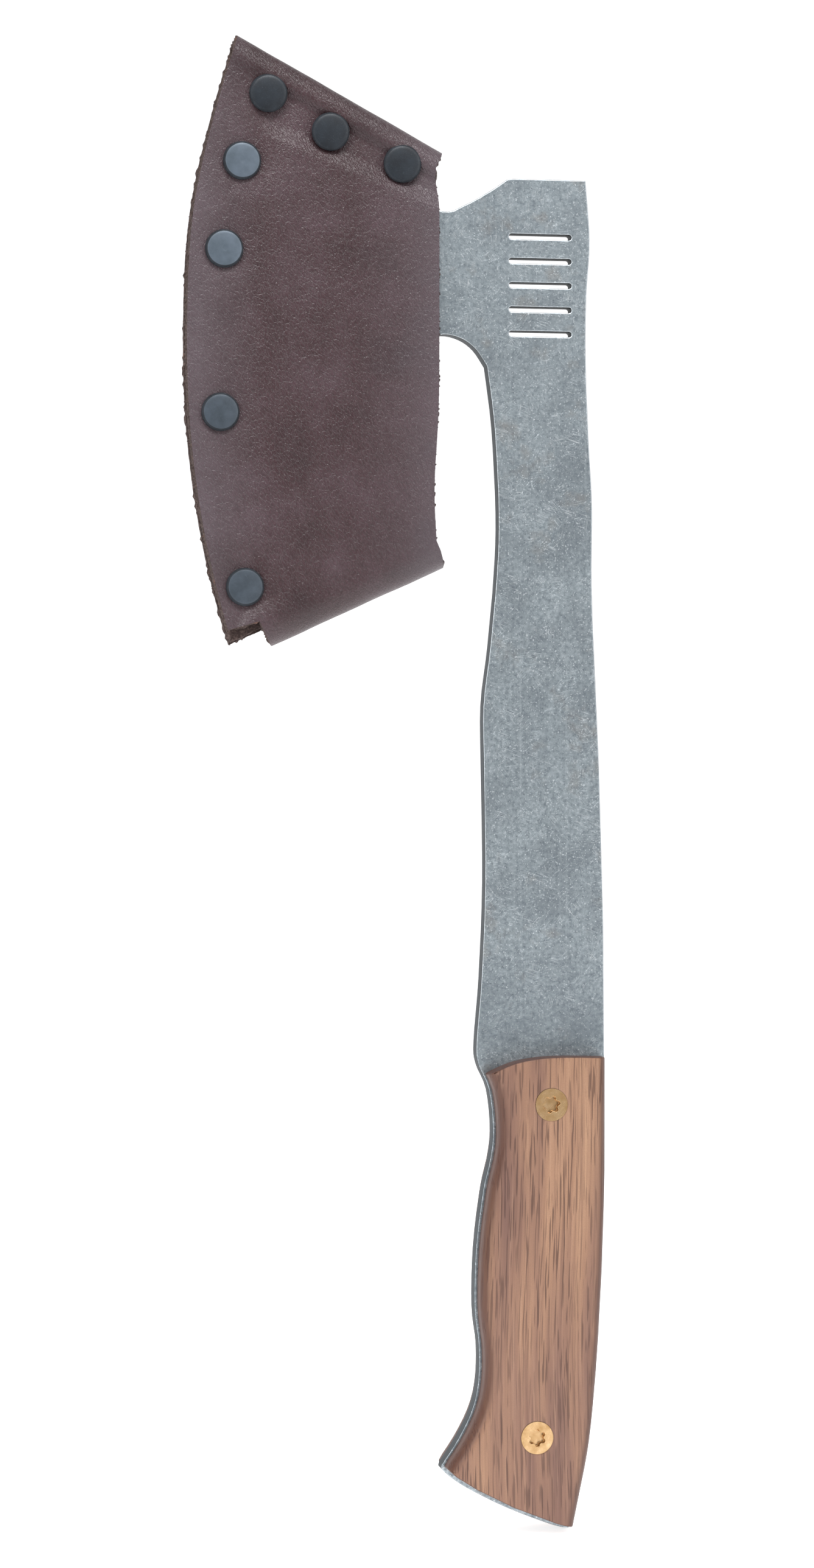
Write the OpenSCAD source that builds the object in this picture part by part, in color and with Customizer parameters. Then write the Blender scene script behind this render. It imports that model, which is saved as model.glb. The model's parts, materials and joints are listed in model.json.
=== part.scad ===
// One-piece steel hatchet with riveted wood scales and a folded leather bit sheath.
// Millimetres. +Z runs up the handle to the head, +Y is the back, the bit points to -X.
// The origin is the middle of the grip, halfway between the two handle screws.

/* [Steel] */
// Thickness of the steel plate
plate_t = 6; // [4:0.5:8]
// Length of the grip part of the handle
grip_len = 155; // [130:1:190]
// Width of the handle at its widest
grip_w = 44; // [36:0.5:54]
// Length of the bare shaft between the grip and the beard
shaft_len = 150; // [110:1:190]
// Reach from the centre line to the cutting edge
reach = 98.5; // [88:0.5:120]
// Height of the cutting edge from toe to heel
bit_h = 154; // [128:1:170]
// Radius of the cutting edge
edge_r = 300; // [220:5:400]
// Width of the ground bevel
bevel_w = 10; // [6:0.5:16]
// Thickness left at the cutting edge
edge_t = 0.5; // [0.3:0.1:1]

/* [Head slots] */
// Number of weight slots through the head
slot_n = 5; // [3:1:6]
// Length of each slot
slot_len = 21; // [12:0.5:24]
// Width of each slot
slot_w = 1.8; // [1.2:0.1:3]
// Distance from slot to slot
slot_step = 8; // [6:0.5:9]

/* [Grip scales] */
// Thickness of each wood scale
scale_t = 9; // [6:0.5:13]
// Radius of the rounded shoulder of a scale
shoulder = 5; // [2:0.5:6]
// How far the wood stays inside the edge of the steel
scale_inset = 0.9; // [0:0.1:2]

/* [Handle screws] */
// Distance between the two handle screws
screw_span = 109; // [90:1:125]
// Diameter of the screw and nut heads
head_d = 10.8; // [9:0.1:13]
// Diameter of the screw's thread
thread_d = 5; // [4:0.5:6]
// Outside diameter of the barrel nut
barrel_d = 7.4; // [6.8:0.1:8.4]
// Size across the lobes of the driver recess
lobe_d = 5.8; // [4.5:0.1:6.4]
// Depth of the driver recess
lobe_depth = 2.2; // [1:0.1:3]
// Radial clearance of a screw in its hole
screw_fit = 0.08; // [0.04:0.01:0.2]

/* [Sheath leather] */
// Thickness of the leather
leather_t = 3; // [2:0.25:4.5]
// Gap between the blade and the leather on each side
blade_gap = 0.4; // [0.3:0.05:1]
// Where the open side of the sheath stands, from the centre line
mouth = 34.3; // [32:0.1:38]
// Width of leather outside the cutting edge
edge_margin = 18.4; // [17:0.5:26]
// How far the sheath's outer curve is centred above the bit's
edge_shift = 8; // [2:0.5:12]
// Height of the top fold above the bit's neck, at the open side
top_rise = 19.8; // [17:0.2:28]
// Slope of the top fold
top_slope = 28.3; // [25:0.1:31]
// Gap between the welt and the cutting edge
welt_gap = 1; // [0.5:0.1:3]

/* [Closing flap] */
// Slope of the bottom fold that the flap turns round
fold_slope = 24.6; // [20:0.1:28]
// Distance from the heel of the bit down to the bottom fold
heel_drop = 10.7; // [9.5:0.1:16]
// Width of the flap along its fold
flap_w = 61; // [50:0.5:62]
// Height of the flap on the back of the sheath
flap_h = 40; // [32:0.5:48]
// How much the flap narrows on each side
flap_taper = 6; // [0:0.5:10]
// Space between the back of the sheath and the flap
flap_gap = 2.7; // [2.4:0.1:4]
// How far the back panel reaches below the front one at the notch
back_drop = 2.9; // [2:0.1:3.7]
// Gap where the folding leather leaves the front panel
seam_gap = 0.3; // [0.3:0.05:0.8]

/* [Rivets and snaps] */
// Diameter of the domed rivet caps
cap_d = 12.5; // [9:0.1:14]
// Height of the rim of a rivet cap
cap_rim = 0.8; // [0.4:0.1:1.5]
// Height of the dome above the rim
cap_dome = 1.1; // [0.5:0.1:2]
// Diameter of a rivet's post
post_d = 3; // [2.4:0.1:4]
// Clearance of a post in the leather, on the radius
post_fit = 0.1; // [0.05:0.05:0.3]
// Distance of the edge rivets in from the sheath's outer curve
edge_inset = 9.9; // [8:0.1:12]
// Distance of the top rivets in from the top fold
top_inset = 12.5; // [11:0.1:14]
// Diameter of the snap's stud
stud_d = 4.4; // [3.6:0.1:5]
// Space round the stud inside the socket, on the radius
snap_play = 0.65; // [0.4:0.05:0.9]
// Diameter of the snap's flanges
snap_d = 9.2; // [8.6:0.1:11]
// Distance between the two snaps
snap_span = 27; // [20:0.5:32]
// Height of the snaps above the bottom fold
snap_rise = 32; // [26:0.5:36]

/* [Hidden] */
half_t = plate_t / 2;
cav = half_t + blade_gap;              // inner face of each leather panel
skin = cav + leather_t;                // outer face of each leather panel
scale_y = half_t + scale_t;            // outer face of each wood scale
kx = grip_w / 44;
kz = grip_len / 155;
grip_top = 75 * kz;                    // where the grip ends and the shaft begins
shaft_top = grip_top + shaft_len;      // where the shaft ends and the head begins
hz = shaft_top - 225;                  // how far the head moves with the handle's length

edge_cx = edge_r - reach;              // centre of the cutting edge's arc
edge_cz = 293 + hz;
toe_x = edge_cx - sqrt(edge_r * edge_r - bit_h * bit_h / 4);
toe_z = edge_cz + bit_h / 2;
heel_z = edge_cz - bit_h / 2;
neck_z = 348.5 + hz;

// sheath lines
outer_r = edge_r + edge_margin;
outer_cz = edge_cz + edge_shift;
top_z = max(neck_z + top_rise,
            toe_z + 11.5 / cos(top_slope) + skin - (-toe_x - mouth) * tan(top_slope));
top_r = skin;                          // outer radius of the top fold
roll_in = (2 * cav + leather_t + flap_gap) / 2;   // inner radius of the bottom fold
roll_out = roll_in + leather_t;
roll_y = roll_in - cav;                // centre of the bottom fold, across the plate
flap_y = skin + flap_gap;              // inner face of the closed flap
fold_x = toe_x + 1.7;                  // left end of the bottom fold
fold_z = heel_z - heel_drop;
welt_end = fold_x - roll_out * sin(fold_slope) - seam_gap;   // the welt stops short of the fold

// the outer rivets stand near the toe and the heel, and two more share the way between them
function edge_angle(z) = asin((z - outer_cz) / (outer_r - edge_inset));
toe_rivet = edge_angle(toe_z - 7.5);
heel_rivet = edge_angle(heel_z + 7.8);
rivet_angles = [for (share = [0, 0.21, 0.59, 1]) toe_rivet + (heel_rivet - toe_rivet) * share];
// length of the top fold, from the open side to the sheath's outer curve
fold_start = [-mouth - edge_cx, top_z - outer_cz];
fold_lean = fold_start * [-cos(top_slope), sin(top_slope)];
top_len = sqrt(fold_lean * fold_lean - fold_start * fold_start + outer_r * outer_r) - fold_lean;
first_along = 7.6;
last_along = top_len - 17.5;
rivet_alongs = [first_along, (first_along + last_along) / 2 + 0.9, last_along];
// the rivets are set by hand, so each stands a little further in or out than its line
top_nudges = [-1.8, 0.8, 0];
edge_nudges = [1.9, 0.5, 0.3, -0.8];
clear_bore = post_d / 2 + post_fit;
dome_r = (cap_d * cap_d / 4 * 0.92 + cap_dome * cap_dome) / (2 * cap_dome);
far = 400;

// ---------- curves ----------

function cr(a, b, c, d, t) =
    0.5 * (2 * b + (c - a) * t + (2 * a - 5 * b + 4 * c - d) * t * t
           + (3 * b - a - 3 * c + d) * t * t * t);
// smooth curve through the points p, n steps from each to the next
function smooth(p, n) = concat(
    [for (i = [0:len(p) - 2]) for (j = [0:n - 1])
        cr(p[max(i - 1, 0)], p[i], p[i + 1], p[min(i + 2, len(p) - 1)], j / n)],
    [p[len(p) - 1]]);
// drawn height to real height, so that grip, shaft and head keep their own lengths
function hgt(z) = z < 75 ? z * kz : z < 225 ? grip_top + (z - 75) * shaft_len / 150 : z + hz;
function at(p) = [for (q = p) [q[0] * kx, hgt(q[1])]];

// front edge of the handle, from the hook of the tail up to the finger gap under the head
front_edge = smooth(at([
    [-32.4, -63.6], [-27.2, -55.8], [-22.5, -46.3], [-20.4, -36.7], [-20.2, -25],
    [-21.6, -12.5], [-21.1, 6.8], [-18.7, 26], [-16.3, 36.5], [-15.4, 46], [-16.8, 59],
    [-20.3, 67.5], [-20.9, 74.9], [-19.2, 96], [-18, 127], [-18.4, 163], [-18.6, 185.3],
    [-16.3, 204.6], [-14.1, 228.8], [-13.5, 249], [-14.9, 277], [-17.4, 297]]), 4);
// under the neck, round to the back of the beard
under_neck = smooth([
    [-17.4 * kx, 297 + hz], [-21.2, 302.6 + hz], [-26, 306 + hz], [-32, 307.2 + hz],
    [-36.8, 305 + hz], [-38.6, 299.5 + hz], [-38.4, 280 + hz], [-37.8, 255 + hz]], 4);
beard = [-37.4, fold_z + (fold_x + 37.4) * -tan(fold_slope) + 11];
edge_arc = let (a = asin(bit_h / 2 / edge_r))
    [for (i = [0:40]) let (t = 180 + a - i * a / 20)
        [edge_cx + edge_r * cos(t), edge_cz + edge_r * sin(t)]];
neck_top = smooth([
    [toe_x, toe_z], [-73, neck_z + (toe_z - neck_z) * 0.61], [-50, neck_z + (toe_z - neck_z) * 0.2],
    [-32.5, neck_z - 0.8], [-24.9, neck_z + 1.4], [-16.7, neck_z + 6], [-10.6, neck_z + 10.2]], 5);
// back of the head and of the handle, down to the tip of the tail
back_edge = smooth(at([
    [15.8, 359], [17.2, 339], [16.1, 320.5], [15.9, 299], [16.9, 272.2], [18, 252], [17.9, 226],
    [18.8, 200], [20.4, 165], [21.6, 125], [22, 88.7], [22.1, 40], [21.4, 6.6], [19.6, -27.2],
    [16.9, -56.1], [13.2, -75.3], [11.3, -84.6]]), 5);
tail = smooth(at([
    [10, -86], [4.2, -84.7], [-10.6, -78.8], [-22.9, -72.5], [-29.5, -68.2], [-32.8, -65]]), 4);

steel_outline = concat(
    front_edge, [for (i = [1:len(under_neck) - 1]) under_neck[i]], [beard], edge_arc,
    [for (i = [1:len(neck_top) - 1]) neck_top[i]], [[-8.8, 359 + hz]], back_edge, tail);

// the plate lies in XZ: a drawing's Y becomes Z, and its depth is centred on Y = 0
module plate(t) rotate([90, 0, 0]) linear_extrude(t, center = true) children();
// a drawing raised from y0 to y1
module slab(y0, y1)
    translate([0, y1, 0]) rotate([90, 0, 0]) linear_extrude(y1 - y0) children();
// a rod along Y, from y0 to y1
module rod(r, y0, y1) translate([0, y1, 0]) rotate([90, 0, 0]) cylinder(r = r, h = y1 - y0, $fn = 48);
module cone_y(r0, r1, y0, y1)
    translate([0, y0, 0]) rotate([-90, 0, 0]) cylinder(r1 = r0, r2 = r1, h = y1 - y0, $fn = 48);

// ---------- the axe ----------

// conical grind on one face of the bit; side is -1 for the front and 1 for the back
module grind(side) {
    over = 4;
    rise = (half_t - edge_t / 2) / bevel_w;
    translate([edge_cx, 0, edge_cz]) rotate([90, 0, 0]) rotate([0, 0, 158])
        rotate_extrude(angle = 44, $fn = 180)
            polygon([[edge_r - bevel_w - 1, side * (half_t + rise)],
                     [edge_r + over, side * (edge_t / 2 - over * rise)],
                     [edge_r + over, side * (half_t + rise)]]);
}

// straight slots with round ends, cut to lighten the head
module head_slots() {
    for (i = [0:slot_n - 1])
        translate([0.5, 0, 324 + hz + (i - (slot_n - 1) / 2) * slot_step]) {
            for (s = [-1, 1]) translate([s * (slot_len - slot_w) / 2, 0, 0])
                rod(slot_w / 2, -half_t - 1, half_t + 1);
            cube([slot_len - slot_w, plate_t + 2, slot_w], center = true);
        }
}

screw_pos = [[2.4, screw_span / 2], [-2.4, -screw_span / 2]];
head_h = (head_d - thread_d) / 2;      // a 90 degree countersink
nut_h = (head_d - barrel_d) / 2;

module steel_blank() color([0.50, 0.53, 0.55]) difference() {
    plate(plate_t) polygon(steel_outline);
    grind(-1);
    grind(1);
    head_slots();
    for (p = screw_pos) translate([p[0], 0, p[1]])
        rod(barrel_d / 2 + screw_fit, -half_t - 1, half_t + 1);
}

// one cross-section of a scale between the edges l and r, as a ring of points
function scale_ring(l, r, z, side) = concat(
    [[l, side * half_t, z]],
    [for (i = [0:5]) let (a = i * 18)
        [l + shoulder * (1 - cos(a)), side * (scale_y - shoulder + shoulder * sin(a)), z]],
    [for (i = [5:-1:0]) let (a = i * 18)
        [r - shoulder * (1 - cos(a)), side * (scale_y - shoulder + shoulder * sin(a)), z]],
    [[r, side * half_t, z]]);

z_low = -92 * kz;
z_high = 74 * kz;
ring_n = 56;
front_at = concat([[z_low, -46 * kx]], [for (p = front_edge) if (p[1] < 76 * kz) [p[1], p[0]]]);
back_at = concat([[z_low, 9.6 * kx]],
    [for (i = [len(back_edge) - 1:-1:0]) if (back_edge[i][1] < 90 * kz)
        [back_edge[i][1], back_edge[i][0]]]);
grip_end = smooth([[-40, 57], [-24, 61.5], [-15, 66], [-6.7, 68.8], [6, 70], [30, 69.4]], 4);
grip_field = concat(
    [for (i = [len(grip_end) - 1:-1:0]) [grip_end[i][0] * kx, grip_end[i][1] * kz]],
    at([[-45, -55], [-34, -62.4], [-29.2, -66.7], [-22.4, -71], [-10.2, -77.2], [4.4, -83],
        [9.7, -84.6], [30, -88]]));

module scale_body(side) {
    rings = [for (i = [0:ring_n]) let (z = z_low + (z_high - z_low) * i / ring_n)
        scale_ring(lookup(z, front_at) + scale_inset, lookup(z, back_at) - scale_inset, z, side)];
    m = len(rings[0]);
    faces = concat(
        [for (i = [0:ring_n - 1]) for (j = [0:m - 1]) let (k = (j + 1) % m)
            each [[i * m + j, i * m + k, (i + 1) * m + k], [i * m + j, (i + 1) * m + k, (i + 1) * m + j]]],
        [[for (j = [m - 1:-1:0]) j]], [[for (j = [0:m - 1]) ring_n * m + j]]);
    polyhedron(points = [for (r = rings) for (p = r) p],
        faces = side < 0 ? [for (f = faces) [for (i = [len(f) - 1:-1:0]) f[i]]] : faces);
}

module front_scale() color([0.62, 0.46, 0.36]) difference() {
    intersection() {
        scale_body(-1);
        plate(2 * scale_y + 2) polygon(grip_field);
    }
    for (p = screw_pos) translate([p[0], 0, p[1]]) {
        rod(thread_d / 2 + screw_fit, -scale_y - 1, 0);
        cone_y(head_d / 2 + screw_fit + 1, thread_d / 2 + screw_fit, -scale_y - 1, -scale_y + head_h);
    }
    for (p = screw_pos) translate([p[0], 0, p[1]])
        rod(barrel_d / 2 + screw_fit, -half_t - 1.5, 0);
}

module back_scale() color([0.62, 0.46, 0.36]) difference() {
    intersection() {
        scale_body(1);
        plate(2 * scale_y + 2) polygon(grip_field);
    }
    for (p = screw_pos) translate([p[0], 0, p[1]]) {
        rod(barrel_d / 2 + screw_fit, 0, scale_y + 1);
        cone_y(barrel_d / 2 + screw_fit, head_d / 2 + screw_fit + 1, scale_y - nut_h, scale_y + 1);
    }
}

// six-lobe driver recess
module recess2d() {
    lobe = lobe_d * 0.13;
    circle(d = lobe_d * 0.74, $fn = 32);
    for (a = [0:60:300]) rotate(a) translate([lobe_d / 2 - lobe, 0]) circle(r = lobe, $fn = 20);
}

module screw(i) color([0.79, 0.64, 0.36]) translate([screw_pos[i][0], 0, screw_pos[i][1]])
    difference() {
        union() {
            cone_y(head_d / 2, thread_d / 2, -scale_y, -scale_y + head_h);
            rod(thread_d / 2, -scale_y + head_h - 0.5, half_t + scale_t * 0.4);
        }
        translate([0, -scale_y + lobe_depth, 0]) rotate([90, 0, 0]) rotate(12 + 20 * i)
            linear_extrude(lobe_depth + 1) recess2d();
    }

module barrel_nut(i) color([0.79, 0.64, 0.36]) translate([screw_pos[i][0], 0, screw_pos[i][1]])
    difference() {
        union() {
            cone_y(barrel_d / 2, head_d / 2, scale_y - nut_h, scale_y);
            rod(barrel_d / 2, -half_t - 1, scale_y - nut_h + 0.5);
        }
        rod(thread_d / 2 + screw_fit, -half_t - 2, half_t + scale_t * 0.5);
        translate([0, scale_y + 1, 0]) rotate([90, 0, 0]) linear_extrude(lobe_depth + 1) recess2d();
    }

// ---------- the sheath ----------

// everything inside the sheath's outer curve
module outer_curve() translate([edge_cx, outer_cz]) circle(r = outer_r, $fn = 360);
// height of the top fold's outside, and of a line h above the bottom fold's outside
function top_line(x) = top_z + (-x - mouth) * tan(top_slope);
function low_line(x, h) = fold_z + (x - fold_x) * tan(fold_slope) + h / cos(fold_slope);

module top_frame() translate([-mouth, 0, top_z]) rotate([0, top_slope, 0]) children();
module fold_frame() translate([fold_x, 0, fold_z]) rotate([0, -fold_slope, 0]) children();

function top_rivet(s, inset) = [-mouth - s * cos(top_slope) - inset * sin(top_slope),
                                top_z + s * sin(top_slope) - inset * cos(top_slope)];
function edge_rivet(a, inset) = [edge_cx - (outer_r - inset) * cos(a),
                                 outer_cz + (outer_r - inset) * sin(a)];
rivets = concat([for (i = [2, 1, 0]) top_rivet(rivet_alongs[i], top_inset + top_nudges[i])],
                [for (i = [0:3]) edge_rivet(rivet_angles[i], edge_inset + edge_nudges[i])]);
welt_top = rivets[0][0] + clear_bore + 2.4;   // the welt reaches past the first rivet's post
function snap_at(i) = [flap_w / 2 + (i - 0.5) * snap_span, snap_rise];

// flat part of the front panel: its lower left corner is cut short of the back one
module front2d() intersection() {
    outer_curve();
    polygon([[-mouth, top_line(-mouth) - top_r / cos(top_slope)],
             [-160, top_line(-160) - top_r / cos(top_slope)],
             [-160, low_line(fold_x - 3.8, roll_out) - (160 + fold_x - 3.8) * tan(15)],
             [fold_x - roll_out * sin(fold_slope), fold_z + roll_out * cos(fold_slope)],
             [-mouth, low_line(-mouth, roll_out)]]);
}

module back2d() intersection() {
    outer_curve();
    polygon([[-mouth, top_line(-mouth) - top_r / cos(top_slope)],
             [-160, top_line(-160) - top_r / cos(top_slope)],
             [-160, low_line(-160, roll_out - back_drop)],
             [-mouth, low_line(-mouth, roll_out - back_drop)]]);
}

module post_holes() for (p = rivets) translate([p[0], 0, p[1]]) rod(clear_bore, -skin - 1, skin + 1);

module front_panel() color([0.36, 0.27, 0.26]) difference() {
    slab(-skin, -cav) front2d();
    post_holes();
}

module back_panel() color([0.36, 0.27, 0.26]) difference() {
    slab(cav, skin) back2d();
    post_holes();
    fold_frame() for (i = [0:1]) translate([snap_at(i)[0], 0, snap_at(i)[1]]) {
        rod(clear_bore, 0, skin + 1);
        rod(snap_d / 2, cav - 1, cav + 0.9);
    }
}

// the leather turns over the back of the bit here
module top_fold() color([0.36, 0.27, 0.26]) intersection() {
    top_frame() translate([-far / 2, 0, -top_r]) rotate([90, 0, 90]) linear_extrude(far / 2)
        difference() {
            circle(r = top_r, $fn = 64);
            circle(r = cav, $fn = 64);
            translate([-far / 2, -far]) square([far, far]);
        }
    slab(-skin - 1, skin + 1) intersection() {
        outer_curve();
        translate([-far - mouth, 0]) square([far, far * 2]);
    }
}

// spacer between the panels, just outside the cutting edge
module edge_welt() color([0.42, 0.31, 0.27]) difference() {
    slab(-cav, cav) difference() {
        intersection() {
            outer_curve();
            polygon([[welt_top, top_line(welt_top) - top_r / cos(top_slope)],
                     [-160, top_line(-160) - top_r / cos(top_slope)],
                     [-160, low_line(-160, roll_out - back_drop)],
                     [welt_end, low_line(welt_end, roll_out - back_drop)],
                     [welt_end, heel_z]]);
        }
        translate([edge_cx, edge_cz]) circle(r = edge_r + welt_gap, $fn = 360);
    }
    post_holes();
}

// domed cap standing on the plane Y = 0 and pointing to -Y
module cap() {
    rod(cap_d / 2, -cap_rim, 0);
    intersection() {
        translate([0, dome_r - cap_rim - cap_dome, 0]) sphere(r = dome_r, $fn = 96);
        rod(cap_d / 2 * 0.96, -cap_rim - cap_dome - 1, -cap_rim / 2);
    }
}

module rivet_cap(i) color([0.20, 0.22, 0.24]) translate([rivets[i][0], -skin, rivets[i][1]]) cap();

module rivet_post(i) color([0.20, 0.22, 0.24]) translate([rivets[i][0], 0, rivets[i][1]]) {
    translate([0, skin, 0]) mirror([0, 1, 0]) cap();
    rod(post_d / 2, -skin, skin + 0.2);
}

module snap_stud(i) color([0.20, 0.22, 0.24]) fold_frame()
    translate([snap_at(i)[0], 0, snap_at(i)[1]]) difference() {
        union() {
            rod(snap_d / 2, skin, skin + 0.5);
            rod(stud_d / 2, skin, flap_y - 0.3);
        }
        rod(clear_bore, skin - 1, flap_y - 1);
    }

module snap_eyelet(i) color([0.20, 0.22, 0.24]) fold_frame()
    translate([snap_at(i)[0], 0, snap_at(i)[1]]) {
        rod(snap_d / 2 - 0.3, cav + 0.2, cav + 0.9);
        rod(post_d / 2, cav + 0.5, flap_y - 1.1);
    }

// ---------- the closing flap ----------

// the leather that bends round the heel from the front of the sheath to its back
module flap_fold() color([0.36, 0.27, 0.26]) fold_frame() intersection() {
    translate([0, roll_y, roll_out]) rotate([90, 0, 90]) linear_extrude(flap_w) difference() {
        circle(r = roll_out, $fn = 64);
        circle(r = roll_in, $fn = 64);
        translate([-far / 2, 0]) square([far, far]);
    }
    union() {
        translate([-1, roll_y - far, -1]) cube([flap_w + 2, far, roll_out + 1 - seam_gap]);
        translate([-1, roll_y, -1]) cube([flap_w + 2, far, roll_out + 2]);
    }
}

module closing_flap() color([0.36, 0.27, 0.26]) fold_frame() difference() {
    slab(flap_y, flap_y + leather_t) hull() {
        translate([0, roll_out]) square([flap_w, 1]);
        for (x = [flap_taper + 8, flap_w - flap_taper - 8])
            translate([x, roll_out + flap_h - 8]) circle(r = 8, $fn = 48);
    }
    for (i = [0:1]) translate([snap_at(i)[0], 0, snap_at(i)[1]])
        rod(clear_bore, flap_y - 1, flap_y + leather_t + 1);
}

module snap_socket(i) color([0.20, 0.22, 0.24]) fold_frame()
    translate([snap_at(i)[0], 0, snap_at(i)[1]]) difference() {
        rod(snap_d / 2, skin + 0.8, flap_y);
        rod(stud_d / 2 + snap_play, skin, flap_y + 1);
    }

module snap_cap(i) color([0.20, 0.22, 0.24]) fold_frame()
    translate([snap_at(i)[0], flap_y + leather_t, snap_at(i)[1]]) {
        mirror([0, 1, 0]) cap();
        rod(post_d / 2, -leather_t, 0.2);
    }

// ---------- assembly ----------

steel_blank();
front_scale();
back_scale();
for (i = [1:2]) {
    screw(i - 1);
    barrel_nut(i - 1);
    snap_stud(i - 1);
    snap_eyelet(i - 1);
    snap_socket(i - 1);
    snap_cap(i - 1);
}
front_panel();
back_panel();
top_fold();
edge_welt();
for (i = [1:7]) {
    rivet_cap(i - 1);
    rivet_post(i - 1);
}
flap_fold();
closing_flap();
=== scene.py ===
# %% [markdown]
# # An axe in its leather sheath
# This axe is three things at once: a flat steel blank, two slabs of wood and a folded piece of leather.
# The solid model already knows where everything is, so this lesson loads it, keeps its hard pieces,
# and makes new meshes where metal needs a softened edge and where leather needs to look like leather.

# %% Load the solid model
import json
import math
import random

import bmesh
import bpy
import numpy as np
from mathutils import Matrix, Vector, noise


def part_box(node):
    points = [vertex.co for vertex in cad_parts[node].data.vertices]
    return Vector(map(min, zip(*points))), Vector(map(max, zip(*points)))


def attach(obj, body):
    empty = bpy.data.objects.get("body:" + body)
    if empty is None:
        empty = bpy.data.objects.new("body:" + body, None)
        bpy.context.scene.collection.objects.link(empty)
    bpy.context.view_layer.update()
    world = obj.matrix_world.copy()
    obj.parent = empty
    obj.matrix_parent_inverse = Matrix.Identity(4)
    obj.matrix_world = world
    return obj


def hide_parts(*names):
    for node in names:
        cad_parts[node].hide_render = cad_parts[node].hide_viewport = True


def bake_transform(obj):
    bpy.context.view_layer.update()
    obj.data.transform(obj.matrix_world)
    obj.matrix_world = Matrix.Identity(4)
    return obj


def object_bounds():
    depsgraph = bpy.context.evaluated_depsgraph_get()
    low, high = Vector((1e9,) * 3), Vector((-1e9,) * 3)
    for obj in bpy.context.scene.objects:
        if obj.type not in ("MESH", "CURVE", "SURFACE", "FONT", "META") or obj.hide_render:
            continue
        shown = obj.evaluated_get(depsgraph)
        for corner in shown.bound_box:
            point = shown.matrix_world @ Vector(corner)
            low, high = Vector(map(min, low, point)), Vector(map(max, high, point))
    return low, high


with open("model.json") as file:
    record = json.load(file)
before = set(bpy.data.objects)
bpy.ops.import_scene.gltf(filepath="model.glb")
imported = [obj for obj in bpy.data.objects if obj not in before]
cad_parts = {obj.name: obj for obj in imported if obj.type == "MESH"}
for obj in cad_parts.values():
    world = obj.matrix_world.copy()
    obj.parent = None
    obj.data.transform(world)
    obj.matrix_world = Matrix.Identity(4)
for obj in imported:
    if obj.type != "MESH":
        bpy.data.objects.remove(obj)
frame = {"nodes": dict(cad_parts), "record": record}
cad_box = [list(corner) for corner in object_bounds()]
MM = 0.001

# %% [markdown]
# ## Where the camera stands
# The camera is level, about 1.3 m away and ten degrees round to the left, so the left edges of the plate and
# of the leather just show. A vertical sensor fit makes the lens depend on the picture's height alone.

# %% Camera
TURN = math.radians(-10)
DISTANCE = 1.3
AIM = Vector((-0.0436, 0.0, 0.1596))
SEEN_HEIGHT = 0.5152
SENSOR = 24


def add_object(name, data):
    """A new object for a camera, a lamp or a mesh, linked into the scene."""
    made = bpy.data.objects.new(name, data)
    bpy.context.collection.objects.link(made)
    return made


look = Vector((-math.sin(TURN), math.cos(TURN), 0))
camera = add_object("camera", bpy.data.cameras.new("camera"))
camera.location = AIM - look * DISTANCE
camera.rotation_euler = look.to_track_quat("-Z", "Y").to_euler()
camera.data.sensor_fit = "VERTICAL"
camera.data.sensor_height = SENSOR
camera.data.lens = SENSOR * DISTANCE / SEEN_HEIGHT
camera.data.clip_end = 200
bpy.context.scene.camera = camera
bpy.context.scene.view_settings.view_transform = "Standard"
print("camera at", [round(c, 3) for c in camera.location], "lens", round(camera.data.lens, 1), "mm")

# %% [markdown]
# ## A pale backdrop
# One sheet lies under the axe and curves up behind it, so no horizon shows. It stops just in front, because a
# bright floor there would light the leather from below and flatten it. It glows a little, so it stays white.

# %% Backdrop
PAPER_GLOW = 0.7


def plain_material(name, colour, roughness):
    """One even paint, for the stage only."""
    material = bpy.data.materials.new(name)
    material.use_nodes = True
    shader = material.node_tree.nodes["Principled BSDF"]
    shader.inputs["Base Color"].default_value = (*colour, 1)
    shader.inputs["Roughness"].default_value = roughness
    return material


def make_backdrop(height, front=-0.45, bend=1.6, radius=2.4, top=9.0, half=30.0):
    """One pale sheet: level under the object, then curved up behind it, so no horizon line shows."""
    profile = [(front, height), (bend, height)]
    steps = 24
    profile += [(bend + radius * math.sin(a), height + radius * (1 - math.cos(a)))
                for a in (math.pi / 2 * k / steps for k in range(1, steps + 1))]
    profile.append((bend + radius, top))
    verts = [(x, y, z) for y, z in profile for x in (-half, half)]
    faces = [(2 * k, 2 * k + 1, 2 * k + 3, 2 * k + 2) for k in range(len(profile) - 1)]
    mesh = bpy.data.meshes.new("backdrop")
    mesh.from_pydata(verts, [], faces)
    mesh.polygons.foreach_set("use_smooth", [True] * len(faces))
    backdrop = add_object("backdrop", mesh)
    paper = plain_material("pale_paper", (0.92, 0.92, 0.92), 0.95)
    shader = paper.node_tree.nodes["Principled BSDF"]
    shader.inputs["Emission Color"].default_value = (1, 1, 1, 1)
    shader.inputs["Emission Strength"].default_value = PAPER_GLOW
    backdrop.data.materials.append(paper)
    return backdrop


backdrop = make_backdrop(cad_box[0][2] - 0.4 * MM)
print("backdrop:", len(backdrop.data.polygons), "faces")

# %% [markdown]
# ## Sky and lamps
# The sky is white where the camera sees it and much dimmer as a light, so the lamps draw the shapes. The top
# lamp leads, the side lamps are weaker, and a weak one in front gives the metal something to mirror.

# %% Sky and lamps
SKY_LIGHT = 0.20


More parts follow.
